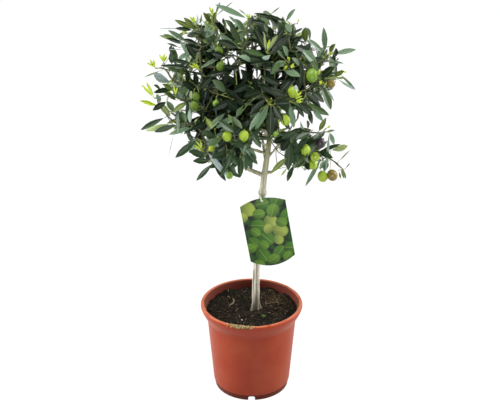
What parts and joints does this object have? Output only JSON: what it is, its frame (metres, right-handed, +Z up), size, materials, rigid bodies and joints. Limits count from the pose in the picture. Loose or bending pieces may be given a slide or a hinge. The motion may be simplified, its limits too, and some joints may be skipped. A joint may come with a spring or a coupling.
{
  "type": "potted olive tree",
  "caption": "Small standard olive tree with a clear leaning trunk, a loose round head of foliage and a tied label, in a tapered nursery pot.",
  "frame": {"origin": "middle of the pot's foot, on the ground", "axes": "+Z up; -Y is the front, which the label faces; +X is to the right as seen from the front"},
  "size_m": [0.36, 0.33, 0.693],
  "materials": {
    "pot_plastic": "satin terracotta-coloured plastic",
    "compost": "loose dark compost of peat and bark",
    "bark": "smooth pale grey-brown bark with lengthwise streaks",
    "young_bark": "smooth olive-brown bark",
    "foliage": "leathery grey-green leaves, silvery beneath, with green olives",
    "printed_card": "glossy printed plastic card",
    "tie_plastic": "thin white plastic tie"
  },
  "bodies": {
    "root": {"pot": "pot_plastic", "compost": "compost", "trunk": "bark", "bough_left": "young_bark", "bough_right": "young_bark", "bough_back": "young_bark", "bough_upper_left": "young_bark", "bough_upper_right": "young_bark", "bough_front": "young_bark", "leader_left": "young_bark", "leader_right": "young_bark", "foliage_top_left": "foliage", "foliage_top_right": "foliage", "foliage_top_back": "foliage", "foliage_upper_left": "foliage", "foliage_upper_right": "foliage", "foliage_front_left": "foliage", "foliage_front_right": "foliage", "foliage_back_left": "foliage", "foliage_back_right": "foliage", "foliage_heart": "foliage", "foliage_left": "foliage", "foliage_right": "foliage", "foliage_low_left": "foliage", "foliage_low_right": "foliage", "foliage_low_front": "foliage", "foliage_low_back": "foliage", "label": "printed_card", "label_tie": "tie_plastic"}
  },
  "joints": []
}
